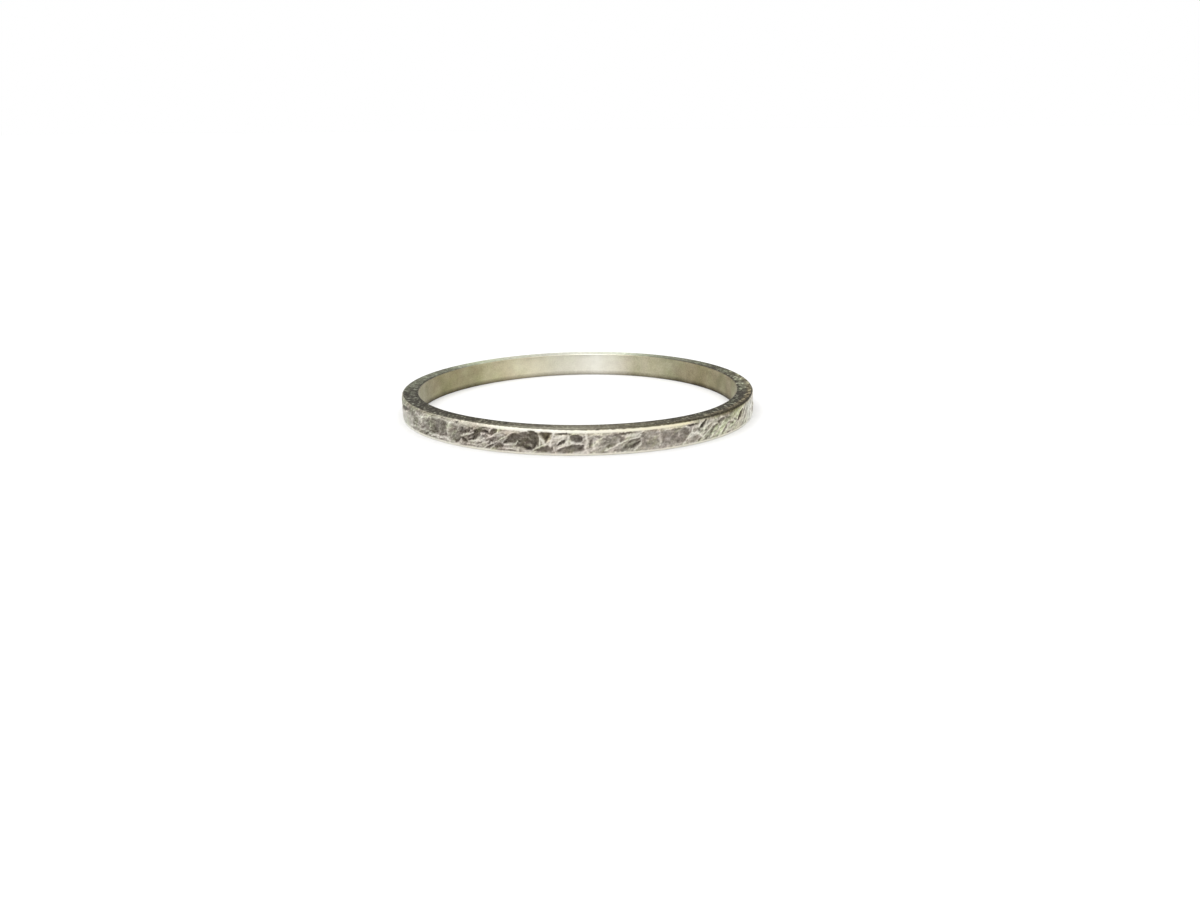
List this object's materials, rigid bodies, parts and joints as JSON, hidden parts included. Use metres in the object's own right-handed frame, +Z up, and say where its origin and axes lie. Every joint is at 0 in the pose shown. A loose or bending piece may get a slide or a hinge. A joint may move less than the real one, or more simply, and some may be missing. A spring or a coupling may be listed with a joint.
{
  "type": "stackable ring",
  "caption": "Slim hammered finger ring, a plain band of darkened silver with flat sides that stack face to face.",
  "frame": {"origin": "on the surface the ring lies on, below the middle of its outline", "axes": "+Z up along the finger hole's axis, so the band lies flat on its side; -Y points from the middle towards the front of the band as pictured, +X to the viewer's right"},
  "size_m": [0.0192, 0.0192, 0.0013],
  "materials": {
    "oxidised_silver": "hammered sterling silver, darkened by oxide in the hammer marks and on the flat sides, rubbed back to bright satin metal on the ridges, the edges and the inside"
  },
  "bodies": {
    "root": {"band": "oxidised_silver"}
  },
  "joints": []
}
